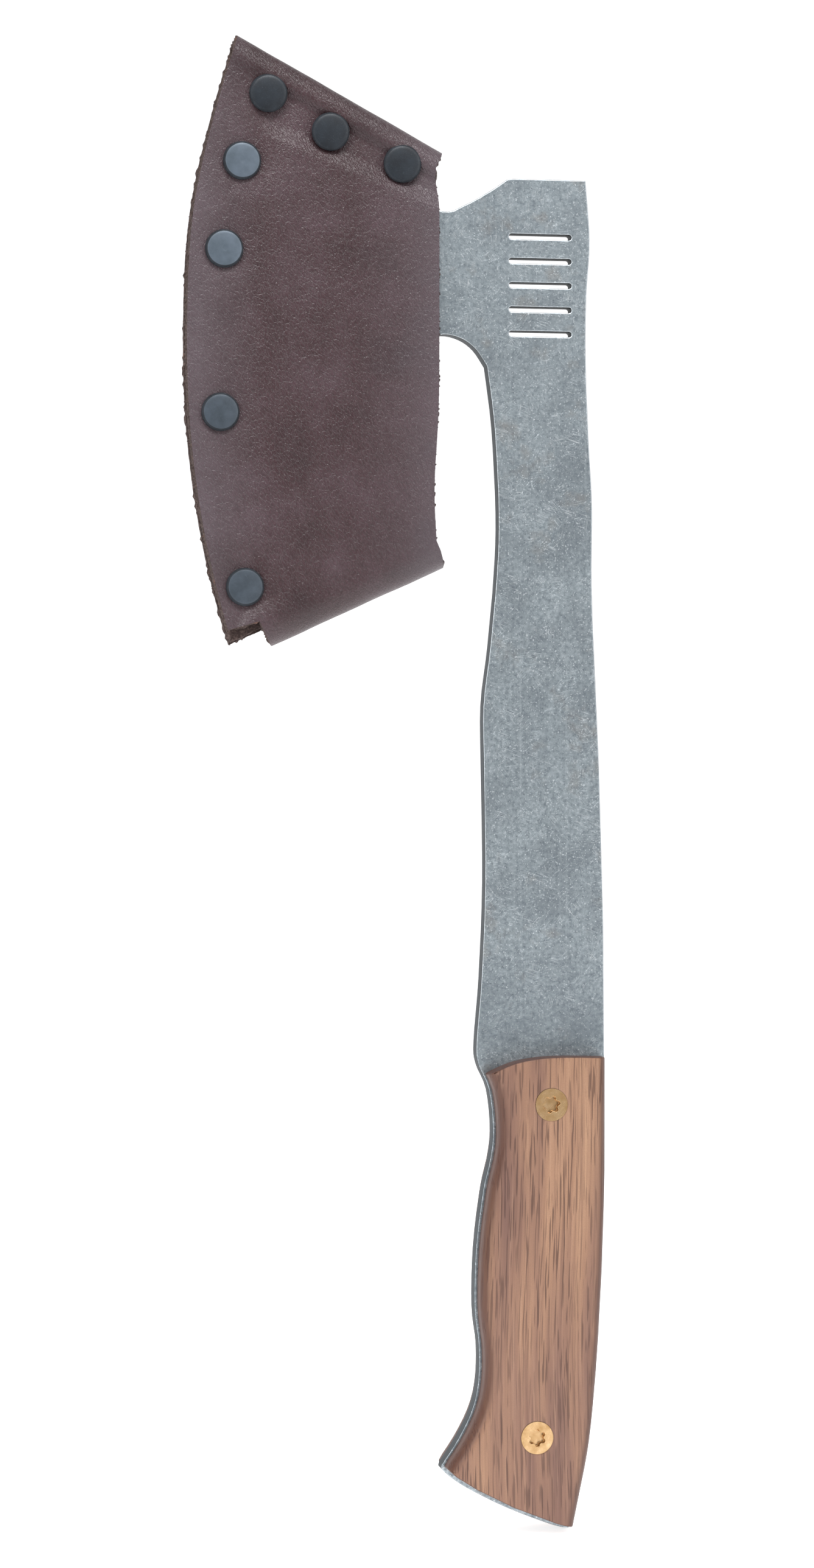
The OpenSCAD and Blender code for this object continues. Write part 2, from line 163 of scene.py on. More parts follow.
def make_sky():
    """White where the camera looks, much dimmer where it lights."""
    world = bpy.data.worlds.new("pale_sky")
    bpy.context.scene.world = world
    world.use_nodes = True
    tree = world.node_tree
    tree.nodes.clear()
    out = tree.nodes.new("ShaderNodeOutputWorld")
    mix = tree.nodes.new("ShaderNodeMixShader")
    seen = tree.nodes.new("ShaderNodeBackground")
    lit = tree.nodes.new("ShaderNodeBackground")
    path = tree.nodes.new("ShaderNodeLightPath")
    seen.inputs["Color"].default_value = (1, 1, 1, 1)
    seen.inputs["Strength"].default_value = 1.0
    lit.inputs["Color"].default_value = (0.97, 0.985, 1, 1)
    lit.inputs["Strength"].default_value = SKY_LIGHT
    tree.links.new(path.outputs["Is Camera Ray"], mix.inputs[0])
    tree.links.new(lit.outputs[0], mix.inputs[1])
    tree.links.new(seen.outputs[0], mix.inputs[2])
    tree.links.new(mix.outputs[0], out.inputs[0])


def make_lamp(name, place, aim, size, power):
    """A rectangular soft lamp of so many watts, pointed at a place."""
    lamp = add_object(name, bpy.data.lights.new(name, "AREA"))
    lamp.data.shape = "RECTANGLE"
    lamp.data.size, lamp.data.size_y = size
    lamp.data.energy = power
    lamp.location = place
    lamp.rotation_euler = (Vector(aim) - Vector(place)).to_track_quat("-Z", "Y").to_euler()
    return lamp


make_sky()
make_lamp("left_box", (-1.15, -0.85, 0.65), (-0.05, 0, 0.25), (0.5, 1.2), 9)
make_lamp("right_box", (1.15, -1.05, 0.7), (-0.05, 0, 0.2), (0.5, 1.2), 7)
make_lamp("top_box", (-0.05, -0.75, 1.25), (-0.04, 0, 0.26), (1.0, 0.35), 14)
make_lamp("fill_box", (0.45, -1.3, 0.12), (0.0, 0, 0.06), (0.7, 0.8), 1.05)
print("lamps:", len(bpy.data.lights))

# %% [markdown]
# ## Small helpers for shaders
# Every finish below is built from the same few bricks: a place on the object, a noise, a ramp and a mix.
# Wrapping them in small helpers keeps each recipe short enough to read.

# %% Shader bricks
class Recipe:
    """Builds one node material step by step."""

    def __init__(self, name):
        self.material = bpy.data.materials.new(name)
        self.material.use_nodes = True
        self.tree = self.material.node_tree
        self.shader = self.tree.nodes["Principled BSDF"]
        self.place = self.node("ShaderNodeTexCoord").outputs["Object"]
        self.facing = self.node("ShaderNodeTexCoord").outputs["Normal"]

    def node(self, kind, **settings):
        made = self.tree.nodes.new(kind)
        for key, value in settings.items():
            setattr(made, key, value)
        return made

    def put(self, socket, value):
        """A link if the value comes from another node, a fixed value if it doesn't."""
        if isinstance(value, bpy.types.NodeSocket):
            self.tree.links.new(value, socket)
        elif isinstance(value, (tuple, list)) and len(value) == 3 and socket.type == "RGBA":
            socket.default_value = (*value, 1)
        else:
            socket.default_value = value

    def mapped(self, scale, turn=(0, 0, 0), shift=(0, 0, 0), source=None):
        """The place on the object, turned and then stretched."""
        spin = self.node("ShaderNodeMapping", vector_type="POINT")
        self.put(spin.inputs["Vector"], source or self.place)
        spin.inputs["Rotation"].default_value = turn
        stretch = self.node("ShaderNodeMapping", vector_type="POINT")
        self.put(stretch.inputs["Vector"], spin.outputs[0])
        stretch.inputs["Scale"].default_value = scale
        stretch.inputs["Location"].default_value = shift
        return stretch.outputs[0]

    def noise(self, where, scale=1.0, detail=2.0, rough=0.5, warp=0.0):
        made = self.node("ShaderNodeTexNoise")
        self.put(made.inputs["Vector"], where)
        made.inputs["Scale"].default_value = scale
        made.inputs["Detail"].default_value = detail
        made.inputs["Roughness"].default_value = rough
        made.inputs["Distortion"].default_value = warp
        return made.outputs["Fac"]

    def cells(self, where, scale=1.0, feature="F1"):
        made = self.node("ShaderNodeTexVoronoi", feature=feature)
        self.put(made.inputs["Vector"], where)
        made.inputs["Scale"].default_value = scale
        return made.outputs["Distance"]

    def ramp(self, value, *stops):
        """Colours or greys at given values; each stop is (value, colour or grey)."""
        made = self.node("ShaderNodeValToRGB")
        self.put(made.inputs[0], value)
        ramp = made.color_ramp
        while len(ramp.elements) < len(stops):
            ramp.elements.new(0.5)
        for element, (at, colour) in zip(ramp.elements, stops):
            element.position = at
            element.color = (*colour, 1) if isinstance(colour, (tuple, list)) else (colour,) * 3 + (1,)
        return made.outputs[0]

    def math(self, operation, a, b=0.0):
        made = self.node("ShaderNodeMath", operation=operation)
        for socket, value in zip(made.inputs, (a, b)):
            self.put(socket, value)
        return made.outputs[0]

    def mix(self, share, a, b):
        """Colour a, with a share of colour b laid over it."""
        made = self.node("ShaderNodeMix", data_type="RGBA")
        self.put(made.inputs[0], share)
        self.put(made.inputs[6], a)
        self.put(made.inputs[7], b)
        return made.outputs[2]

    def part(self, vector, axis):
        """One of a vector's three parts: 0 for X, 1 for Y, 2 for Z."""
        made = self.node("ShaderNodeSeparateXYZ")
        self.put(made.inputs[0], vector)
        return made.outputs[axis]

    def point(self, x, y, z):
        made = self.node("ShaderNodeCombineXYZ")
        for socket, value in zip(made.inputs, (x, y, z)):
            self.put(socket, value)
        return made.outputs[0]

    def bent(self, scale, amount):
        """The place pushed about by a slow noise, so that what is drawn on it wanders."""
        wander = self.math("SUBTRACT", self.noise(self.mapped((1, 1, 1)), scale, 2), 0.5)
        push = self.math("MULTIPLY", wander, amount)
        return self.point(self.math("ADD", self.part(self.place, 0), push), self.part(self.place, 1),
                          self.math("SUBTRACT", self.part(self.place, 2), push))

    def bump(self, height, depth, below=None):
        """A height between 0 and 1 felt as so many metres, on top of another bump if one is given."""
        made = self.node("ShaderNodeBump")
        self.put(made.inputs["Height"], height)
        made.inputs["Distance"].default_value = depth
        made.inputs["Strength"].default_value = 1.0
        if below is not None:
            self.put(made.inputs["Normal"], below)
        return made.outputs[0]

    def finish(self, colour, roughness, normal=None, **fixed):
        """Joins the recipe to the shader; fixed values go straight onto its sockets."""
        self.put(self.shader.inputs["Base Color"], colour)
        self.put(self.shader.inputs["Roughness"], roughness)
        if normal is not None:
            self.put(self.shader.inputs["Normal"], normal)
        for name, value in fixed.items():
            self.shader.inputs[name.replace("_", " ")].default_value = value
        return self.material


def shade(red, green, blue):
    """A screen colour, 0 to 255, as the linear colour that shaders use."""
    def linear(c):
        c /= 255
        return c / 12.92 if c <= 0.04045 else ((c + 0.055) / 1.055) ** 2.4
    return tuple(linear(c) for c in (red, green, blue))


print("shader bricks ready")

# %% [markdown]
# ## Scratches
# A scratch is a noise stretched until it is a line and cut off near its peak. A second, wider noise breaks the
# lines up, and a set of them at each of a few angles crosses the rest, as pebbles leave them.

# %% Scratches
def scratches(recipe, angles, length, width, cut):
    """Thin bright lines over the plate, one set for each angle, slightly curved."""
    place = recipe.bent(28, 0.006)
    total = None
    for i, angle in enumerate(angles):
        where = recipe.mapped((1 / length, 30, 1 / width), turn=(0, math.radians(angle), 0),
                              shift=(i * 7.3, i * 3.1, i * 1.7), source=place)
        line = recipe.math("GREATER_THAN", recipe.noise(where, 1.0, 0.0), cut)
        where = recipe.mapped((90, 30, 90), shift=(i * 2.9, 0, i * 5.3))
        patch = recipe.ramp(recipe.noise(where, 1.0, 1.0), (0.54, 0.0), (0.66, 1.0))
        line = recipe.math("MULTIPLY", line, patch)
        total = line if total is None else recipe.math("MAXIMUM", total, line)
    return total


print("scratches ready")

# %% [markdown]
# ## Stonewashed steel
# Stonewashing tumbles the blank with pebbles. The finish is built up one kind of mark at a time: grey mottle,
# clouds, stains, lines from the rolling mill, dents and scratches, then a darker band just above the wood and a
# painted highlight on the rounded rim.
# The ground bevel comes last. It is found by its distance from the centre of the cutting edge's arc.

# %% Steel finish
BIT_R, BIT_CENTRE = 300.0, (201.5, 293.0)
EDGE_R = BIT_R * MM
EDGE_CENTRE = (BIT_CENTRE[0] * MM, BIT_CENTRE[1] * MM)
GRIND = 10 * MM


def make_steel(name="steel_look"):
    """Grey mottle, clouds, stains, mill lines, dents and scratches, and a ground bevel on the bit."""
    r = Recipe(name)
    mottle = r.noise(r.mapped((1, 1, 1)), 760, 5, 0.66)
    colour = r.ramp(mottle, (0.28, shade(124, 133, 140)), (0.46, shade(158, 168, 174)),
                    (0.58, shade(176, 186, 192)), (0.74, shade(204, 213, 218)))
    clouds = r.noise(r.mapped((1, 1, 1)), 55, 3, 0.6)
    colour = r.mix(r.ramp(clouds, (0.34, 0.5), (0.56, 0.0)), colour, shade(126, 134, 141))
    stain = r.noise(r.mapped((1, 1, 1), shift=(4, 2, 9)), 85, 4, 0.6)
    colour = r.mix(r.ramp(stain, (0.58, 0.0), (0.74, 0.5)), colour, shade(158, 152, 146))
    # faint lines left by the rolling mill, and small bright dents left by the pebbles
    mill = r.noise(r.mapped((900, 40, 9)), 1.0, 2, 0.5)
    colour = r.mix(r.ramp(mill, (0.60, 0.0), (0.80, 0.35)), colour, shade(196, 205, 210))
    colour = r.mix(r.ramp(mill, (0.24, 0.25), (0.42, 0.0)), colour, shade(112, 121, 128))
    specks = r.noise(r.mapped((1, 1, 1)), 1900, 1, 0.5)
    colour = r.mix(r.ramp(specks, (0.655, 0.0), (0.70, 0.8)), colour, shade(226, 232, 236))
    colour = r.mix(r.ramp(specks, (0.27, 0.5), (0.33, 0.0)), colour, shade(88, 96, 103))
    lines = scratches(r, (12, 47, 83, 128, 161), 0.0055, 0.00012, 0.735)
    colour = r.mix(r.math("MULTIPLY", lines, 0.8), colour, shade(232, 237, 240))
    # the plate is darker in a band just above the grip
    near_wood = r.ramp(r.part(r.mapped((1, 1, 8.0)), 2), (0.56, 0.0), (0.60, 0.36), (0.86, 0.0))
    colour = r.mix(near_wood, colour, shade(110, 119, 126))
    # above the grip, a painted highlight on the plate's rounded rim, where its bevel would catch the lamps
    side = r.math("ABSOLUTE", r.part(r.facing, 1))
    rim = r.ramp(side, (0.60, 0.0), (0.74, 0.6), (0.93, 0.6), (0.99, 0.0))
    rim = r.math("MULTIPLY", rim, r.math("GREATER_THAN", r.part(r.place, 2), 0.07))
    colour = r.mix(rim, colour, shade(224, 231, 235))
    # the ground bevel of the bit is brighter, with fine lines across the edge
    x = r.math("SUBTRACT", r.part(r.place, 0), EDGE_CENTRE[0])
    z = r.math("SUBTRACT", r.part(r.place, 2), EDGE_CENTRE[1])
    reach = r.math("SQRT", r.math("ADD", r.math("MULTIPLY", x, x), r.math("MULTIPLY", z, z)))
    near = r.math("LESS_THAN", reach, EDGE_R + 0.002)
    ground = r.math("MULTIPLY", r.math("GREATER_THAN", reach, EDGE_R - GRIND), near)
    ground = r.math("MULTIPLY", ground, r.math("LESS_THAN", r.part(r.place, 0), -0.06))
    angle = r.math("ARCTAN2", z, x)
    lines_across = r.noise(r.point(r.math("MULTIPLY", angle, 2600), reach, 0.0), 1.0, 2, 0.5)
    bright = r.ramp(lines_across, (0.3, shade(150, 156, 160)), (0.7, shade(205, 210, 213)))
    colour = r.mix(ground, colour, bright)
    rough = r.ramp(mottle, (0.3, 0.50), (0.7, 0.38))
    dents = r.bump(mottle, 0.00005)
    dents = r.bump(specks, 0.00003, dents)
    dents = r.bump(lines, 0.00002, dents)
    return r.finish(colour, rough, dents, Metallic=1.0)


steel = make_steel()
print("steel:", len(steel.node_tree.nodes), "nodes")

# %% [markdown]
# ## The cut edge of the plate
# The narrow edge round the plate is dull and painted dark, as shade. It is made without
# metal's mirror shine: seen at a grazing angle, that would reflect the white room and turn the edge pale.

# %% Plate edge finish
def make_shaded_plate_edge(name="shaded_plate_edge_look"):
    """The cut edge round the plate: dull, painted dark as shade, with the cutter's lines across it."""
    r = Recipe(name)
    grain = r.noise(r.mapped((400, 3000, 60)), 1.0, 3, 0.6)
    # painted shade: a dark colour stands in for the light the edge doesn't get
    colour = r.ramp(grain, (0.3, shade(38, 43, 47)), (0.7, shade(66, 72, 77)))
    return r.finish(colour, 0.6, r.bump(grain, 0.00004), Specular_IOR_Level=0.35)


shaded_plate_edge = make_shaded_plate_edge()
print("plate edge:", len(shaded_plate_edge.node_tree.nodes), "nodes")

# %% [markdown]
# ## Oiled walnut
# Walnut has three scales of figure: broad bands of colour, streaks that run the length of the slab, and open
# pores, which are dark dashes a few millimetres long and a fraction of a millimetre wide. All three follow
# the grain, so their noises are stretched along Z by different amounts.

# %% Walnut finish
def make_walnut(name="walnut_look"):
    """Bands, streaks and pores along Z, with painted shade on every rounded shoulder and darker end grain."""
    r = Recipe(name)
    drift = r.math("MULTIPLY", r.math("SUBTRACT", r.noise(r.mapped((10, 10, 6)), 1.0, 1), 0.5), 0.010)
    place = r.point(r.math("ADD", r.part(r.place, 0), drift), r.part(r.place, 1), r.part(r.place, 2))
    bands = r.noise(r.mapped((105, 60, 9), source=place), 1.0, 2, 0.5)
    colour = r.ramp(bands, (0.28, shade(112, 83, 75)), (0.45, shade(138, 104, 87)),
                    (0.60, shade(158, 121, 97)), (0.76, shade(177, 139, 111)))
    streaks = r.noise(r.mapped((980, 420, 16), source=place), 1.0, 3, 0.6)
    colour = r.mix(r.ramp(streaks, (0.32, 0.5), (0.50, 0.0)), colour, shade(106, 76, 66))
    colour = r.mix(r.ramp(streaks, (0.56, 0.0), (0.74, 0.4)), colour, shade(190, 152, 126))
    # pores: long thin dashes, thick together in the early wood of each band
    dashes = r.noise(r.mapped((1900, 900, 75), source=place), 1.0, 1, 0.4)
    patch = r.noise(r.mapped((190, 100, 16), shift=(3, 1, 2), source=place), 1.0, 2)
    pores = r.math("MULTIPLY", r.ramp(dashes, (0.56, 0.0), (0.62, 1.0)),
                   r.ramp(patch, (0.36, 0.45), (0.58, 1.0)))
    colour = r.mix(r.math("MULTIPLY", pores, 0.72), colour, shade(72, 49, 42))
    dust = r.noise(r.mapped((1, 1, 1)), 2600, 1)
    colour = r.mix(r.ramp(dust, (0.35, 0.14), (0.65, 0.0)), colour, shade(112, 84, 74))
    # painted shade on the rounded shoulders, and end grain that soaks up more oil: darker where the face turns
    # sideways
    side = r.math("ABSOLUTE", r.part(r.facing, 1))
    colour = r.mix(r.ramp(side, (0.35, 0.9), (0.75, 0.75), (0.985, 0.0)), colour, shade(78, 44, 31))
    height = r.math("SUBTRACT", r.math("MULTIPLY", streaks, 0.3), pores)
    rough = r.ramp(bands, (0.3, 0.50), (0.7, 0.42))
    return r.finish(colour, rough, r.bump(height, 0.00007), Specular_IOR_Level=0.4)


walnut = make_walnut()
print("walnut:", len(walnut.node_tree.nodes), "nodes")

# %% [markdown]
# ## Brass and black metal
# The screws are satin brass: soft clouds, and a grain too fine to count. The rivets are steel caps with a dull
# black coat that is slightly blue where it catches the light. Some get a lighter grey painted in as reflected
# light, so one recipe takes how much, and the rims stay black and matt.

# %% Brass and black finishes
def make_brass(name="brass_look"):
    """Satin brass, a little shinier where its cloud is bright."""
    r = Recipe(name)
    cloud = r.noise(r.mapped((1, 1, 1)), 320, 3, 0.6)
    colour = r.ramp(cloud, (0.3, shade(184, 145, 98)), (0.6, shade(206, 171, 128)), (0.8, shade(222, 192, 152)))
    fine = r.noise(r.mapped((1, 1, 1)), 5200, 2)
    colour = r.mix(r.ramp(fine, (0.62, 0.0), (0.75, 0.5)), colour, shade(240, 214, 168))
    return r.finish(colour, r.ramp(cloud, (0.3, 0.34), (0.7, 0.24)), r.bump(fine, 0.00001), Metallic=1.0)


def make_black(name, reflection_share, rough=0.40):
    """Blackened steel; the second argument runs from 0, plain black, to 1, a lighter grey painted in as
    reflected light.
    """
    r = Recipe(name)
    cloud = r.noise(r.mapped((1, 1, 1)), 240, 3, 0.6)
    low = [a + (b - a) * reflection_share for a, b in ((30, 80), (34, 91), (40, 101))]
    high = [a + (b - a) * reflection_share for a, b in ((44, 98), (50, 109), (57, 121))]
    colour = r.ramp(cloud, (0.3, shade(*low)), (0.7, shade(*high)))
    fine = r.noise(r.mapped((1, 1, 1)), 3800, 2)
    colour = r.mix(r.ramp(fine, (0.6, 0.0), (0.8, 0.3)), colour, shade(104, 113, 122))
    return r.finish(colour, r.ramp(cloud, (0.3, rough + 0.04), (0.7, rough - 0.04)), r.bump(fine, 0.000012),
                    Metallic=0.2, Specular_IOR_Level=0.5)


brass = make_brass()
black_metal = make_black("black_look", 0.0)
# two copies of the black with a lighter grey painted in as reflected light, part and full
dim_painted_reflection_metal = make_black("dim_painted_reflection_look", 0.6)
painted_reflection_metal = make_black("painted_reflection_look", 1.0)
rim_metal = make_black("rim_look", 0.0, 0.78)
print("brass and black ready")

# %% [markdown]
# ## Leather, inside and out
# The hide's outside is a pebbled grain: cells about half a millimetre wide, bent by a slower noise so that they
# never line up. The crests get a painted highlight and are shinier than the creases, which get painted shade,
# and both long edges of the sheath get a paler, greyer painted sheen. The cut edges and the flesh side are a
# different
# finish: matt, fibrous, and tan where the dye has not soaked in.

# %% Leather finishes
def make_leather(name="leather_look"):
    """The dyed grain side of the hide."""
    r = Recipe(name)
    place = r.bent(300, 0.0016)
    slant = (0, math.radians(28), 0)
    pebbles = r.cells(r.mapped((2300, 1700, 1300), turn=slant, source=place), 1.0)
    creases = r.cells(r.mapped((1050, 900, 480), turn=slant, source=place), 1.0, feature="DISTANCE_TO_EDGE")
    fine = r.noise(r.mapped((1, 1, 1)), 3600, 2)
    clouds = r.noise(r.mapped((1, 1, 1)), 42, 4, 0.6)
    colour = r.ramp(clouds, (0.30, shade(48, 27, 31)), (0.50, shade(62, 40, 44)), (0.72, shade(77, 57, 63)))
    # painted light in the grain: a painted highlight on the pebbles' crests, painted shade round them and in
    # the creases
    colour = r.mix(r.ramp(pebbles, (0.10, 0.22), (0.42, 0.0)), colour, shade(110, 95, 100))
    colour = r.mix(r.ramp(pebbles, (0.45, 0.0), (0.85, 0.35)), colour, shade(42, 29, 29))
    colour = r.mix(r.ramp(creases, (0.0, 0.35), (0.10, 0.0)), colour, shade(42, 29, 30))
    # fine painted glints
    colour = r.mix(r.ramp(fine, (0.66, 0.0), (0.80, 0.2)), colour, shade(132, 121, 127))
    # towards both long edges a painted sheen makes the finish paler and a little greyer, as if lit there
    across = r.math("ADD", r.math("MULTIPLY", r.part(r.place, 0), -8), r.math("MULTIPLY", clouds, 0.12))
    painted_edge_sheen = r.ramp(across, (0.32, 0.42), (0.44, 0.12), (0.56, 0.0), (0.80, 0.0), (0.97, 0.36))
    colour = r.mix(painted_edge_sheen, colour, shade(108, 99, 106))
    domes = r.math("SUBTRACT", 1.0, pebbles)
    height = r.math("ADD", domes, r.math("MULTIPLY", fine, 0.35))
    height = r.math("ADD", height, r.math("MULTIPLY", r.ramp(creases, (0.0, 0.0), (0.12, 1.0)), 0.6))
    rough = r.ramp(pebbles, (0.1, 0.29), (0.7, 0.43))
    return r.finish(colour, rough, r.bump(height, 0.00011), Specular_IOR_Level=0.55)


def make_raw_leather(name="raw_leather_look"):
    """Cut edges and flesh side."""
    r = Recipe(name)
    fibres = r.noise(r.mapped((1300, 500, 1300)), 1.0, 4, 0.65, 0.6)
    clouds = r.noise(r.mapped((1, 1, 1)), 190, 3)
    colour = r.ramp(fibres, (0.30, shade(46, 36, 34)), (0.50, shade(74, 61, 58)), (0.72, shade(108, 92, 87)))
    colour = r.mix(r.ramp(clouds, (0.68, 0.0), (0.80, 0.6)), colour, shade(150, 108, 90))
    return r.finish(colour, 0.88, r.bump(fibres, 0.00022), Specular_IOR_Level=0.2)


leather, raw_leather = make_leather(), make_raw_leather()
print("leather ready")

# %% [markdown]
# ## Metal and wood with softened edges
# Real edges are never perfectly sharp: the tumbler rounds the steel and sandpaper rounds the wood, and that
# narrow rounding is what catches the light. So each hard piece becomes a copy of the solid with its flat
# faces joined up and its sharp edges bevelled, and the copy stands for the solid.

# %% Bevelled copies of the solids
def body_name(node):
    """The body a CAD piece belongs to."""
    groups = frame["record"]["behaviour"]["bodies"]
    return next(body for body, nodes in groups.items() if node in nodes)


def softened(node, width, material, keep=None, flank=None):
    """A bevelled copy of a solid. keep(point) spares an edge; flank is the finish of its narrow faces."""
    mesh = frame["nodes"][node].data.copy()
    bm = bmesh.new()
    bm.from_mesh(mesh)
    bmesh.ops.remove_doubles(bm, verts=bm.verts, dist=1e-6)
    bmesh.ops.dissolve_limit(bm, angle_limit=math.radians(0.8), verts=bm.verts, edges=bm.edges)
    corners = [e for e in bm.edges
               if len(e.link_faces) == 2 and e.calc_face_angle(0) > math.radians(32)
               and not (keep and keep((e.verts[0].co + e.verts[1].co) / 2))]
    bmesh.ops.bevel(bm, geom=corners, offset=width, offset_type="OFFSET", segments=2, profile=0.6,
                    affect="EDGES", clamp_overlap=False)
    for face in bm.faces:
        face.smooth = True
    bm.to_mesh(mesh)
    bm.free()
    mesh.materials.clear()
    mesh.materials.append(material)
    if flank:
        mesh.materials.append(flank)
        for face in mesh.polygons:
            face.material_index = int(abs(face.normal.y) < 0.3)
    mesh.set_sharp_from_angle(angle=math.radians(50))
    piece = add_object(node + "_look", mesh)
    even = piece.modifiers.new("even_normals", "WEIGHTED_NORMAL")
    even.keep_sharp = True
    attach(piece, body_name(node))
    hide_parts(node)
    return piece


def on_cutting_edge(point):
    """The cutting edge stays sharp."""
    away = math.hypot(point.x - EDGE_CENTRE[0], point.z - EDGE_CENTRE[1])
    return point.x < -0.08 and away > EDGE_R - 0.0012


steel_look = softened("steel_blank", 0.4 * MM, steel, on_cutting_edge, shaded_plate_edge)
for scale in ("front_scale", "back_scale"):
    softened(scale, 0.45 * MM, walnut)
for i in (1, 2):
    softened(f"screw_{i}", 0.14 * MM, brass)
    softened(f"barrel_nut_{i}", 0.14 * MM, brass)
print("steel look:", len(steel_look.data.polygons), "faces")

# %% [markdown]
# ## The shape of the sheath
# The sheath is one hide. Its left edge is an arc around the cutting edge, its top and bottom are folds, and
# its right side is open. These few lines say where all of that is, in millimetres, with the solid's own values.

# %% Lines of the sheath
# the outer arc, then the open side and the top fold, which climbs to the left from it
OUTER_R, OUTER_CENTRE = 318.4, (201.5, 301.0)
MOUTH, TOP_Z, TOP_SLOPE = 34.3, 368.3, math.radians(28.3)
# half the room inside, and the thickness of the hide
INSIDE, THICK = 3.4, 3.0
SKIN = INSIDE + THICK
# the bottom fold, which climbs to the right, and the flap that it carries
FOLD_X, FOLD_Z, FOLD_SLOPE = -86.75, 205.3, math.radians(24.6)
FLAP_WIDTH, FLAP_HEIGHT, FLAP_TAPER = 61.0, 40.0, 6.0
# how much lower the back ends than the front, and the room between back and flap
BACK_DROP = 2.9
FLAP_GAP = 2.7
FLAP_INSIDE = SKIN + FLAP_GAP
ROLL_R = (2 * INSIDE + THICK + FLAP_GAP) / 2 + THICK
ROLL_Y = ROLL_R - THICK - INSIDE
# the two ends of the blade's top edge
TOE, NECK = (-88.4, 370.0), (-34.0, 348.0)


def smooth01(t):
    """A soft step: 0 below 0, 1 above 1."""
    t = min(max(t, 0.0), 1.0)
    return t * t * (3 - 2 * t)


along_top = np.array([-math.cos(TOP_SLOPE), math.sin(TOP_SLOPE)])
out_top = np.array([math.sin(TOP_SLOPE), math.cos(TOP_SLOPE)])
along_fold = np.array([math.cos(FOLD_SLOPE), math.sin(FOLD_SLOPE)])
in_fold = np.array([-math.sin(FOLD_SLOPE), math.cos(FOLD_SLOPE)])


def top_at(x):
    """Height of the flat leather's top, where the fold begins."""
    return TOP_Z - (x + MOUTH) * math.tan(TOP_SLOPE) - SKIN / math.cos(TOP_SLOPE)


def fold_point(along, inward):
    """A point given along the bottom fold and inward from it."""
    return np.array([FOLD_X, FOLD_Z]) + along * along_fold + inward * in_fold


def outer_x(z):
    """The outer edge: an arc, a little proud where the knife wandered above the middle."""
    wander = 1.05 * math.exp(-((z - 346) / 25) ** 2)
    return OUTER_CENTRE[0] - math.sqrt(OUTER_R ** 2 - (z - OUTER_CENTRE[1]) ** 2) - wander


def mouth_x(z):
    """The open side: drawn in at the top rivet and slack above the bottom fold."""
    return -34.0 - 1.1 * smooth01((z - 350) / 10) - 1.6 * math.exp(-((z - 255) / 20) ** 2)


def meet_outer(start, direction):
    """Where a line through start reaches the sheath's outer arc, going left."""
    p, d = np.array(start, float), np.array(direction, float)
    d = d / np.linalg.norm(d)
    q = p - np.array(OUTER_CENTRE)
    b = q @ d
    return p + d * (-b + math.sqrt(b * b - q @ q + OUTER_R ** 2)) if d[0] < 0 else p


# rivets: how far along the top fold and in from it, then the angle round the outer arc and how far in from it
TOP_RIVETS = ((56.9, 12.5), (33.2, 13.3), (7.6, 10.7))
EDGE_RIVETS = ((11.5, 11.8), (6.04, 10.4), (-3.84, 10.2), (-14.49, 9.1))
rivets = [np.array([-MOUTH, TOP_Z]) + s * along_top - inset * out_top for s, inset in TOP_RIVETS]
for degrees, inset in EDGE_RIVETS:
    t = math.radians(degrees)
    rivets.append(np.array([OUTER_CENTRE[0] - (OUTER_R - inset) * math.cos(t),
                            OUTER_CENTRE[1] + (OUTER_R - inset) * math.sin(t)]))
print("rivets at", [tuple(round(float(c), 1) for c in p) for p in rivets])

# %% [markdown]
# ## How leather lies over a blade
# Wet leather is pressed over the axe and dries to its shape. It stands proud over the steel, drops into a soft
# valley just outside it, and is pulled down in a dimple round every rivet. Each of those is a small smooth
# function of the place, and the surface is their sum.

# %% Relief of the leather
def line_distance(p, a, b):
    """How far p is to the left of the line from a to b."""
    ax, az = a
    dx, dz = b[0] - ax, b[1] - az
    return (dx * (p[1] - az) - dz * (p[0] - ax)) / math.hypot(dx, dz)


def hill(t):
    """1 in the middle, 0 from -1 outward and from 1 outward."""
    return math.cos(t * math.pi / 2) ** 2 if abs(t) < 1 else 0.0


def sink(x, z, side):
    """How far the hide's outside lies below the flat solid, in mm."""
    over_top = line_distance((x, z), TOE, NECK)
    past_edge = math.hypot(x - BIT_CENTRE[0], z - BIT_CENTRE[1]) - BIT_R
    from_fold = (np.array([-MOUTH, TOP_Z]) - (x, z)) @ out_top
    # proud over the middle of the blade
    depth = -1.3 * hill((x + 62) / 38) * hill((z - 288) / 96)
    # down over the top edge of the blade, along the rivets, and up again to the fold
    low = smooth01((over_top + 1.0) / 6.5) * smooth01((from_fold - 4.5) / 5.5)
    depth += 1.9 * low * (1 - smooth01((past_edge + 4) / 14))
    # down over the cutting edge to the welt
    depth += 0.9 * smooth01((past_edge + 9) / 13)
    for rx, rz in rivets:
        r = math.hypot(x - rx, z - rz)
        if r < 24:
            depth += 0.65 * math.exp(-(r / 8.5) ** 2)
    slow = noise.noise(Vector((x / 23, z / 30, 7 * side)))
    quick = noise.noise(Vector((x / 6.5, z / 8.5, 3 + 5 * side)))
    depth += 0.20 * slow + 0.06 * quick
    # creases run up from the lowest rivet, and short ones fan out between the rivets and the blade
    rx, rz = rivets[6]
    above = hill((z - rz - 21) / 19) * hill((x - rx - 6) / 13)
    depth += 0.26 * above * noise.noise(Vector((x / 1.15 + 1.5 * slow, z / 9.0, 11 * side)))
    pull = hill((over_top - 4.5) / 7) * (1 - smooth01((past_edge + 6) / 8))
    depth += 0.14 * pull * noise.noise(Vector((over_top / 2.6, (x - z) / 1.5, 17 * side)))
    return depth


print("relief at the middle of the blade:", round(sink(-60, 290, 1), 3), "mm")

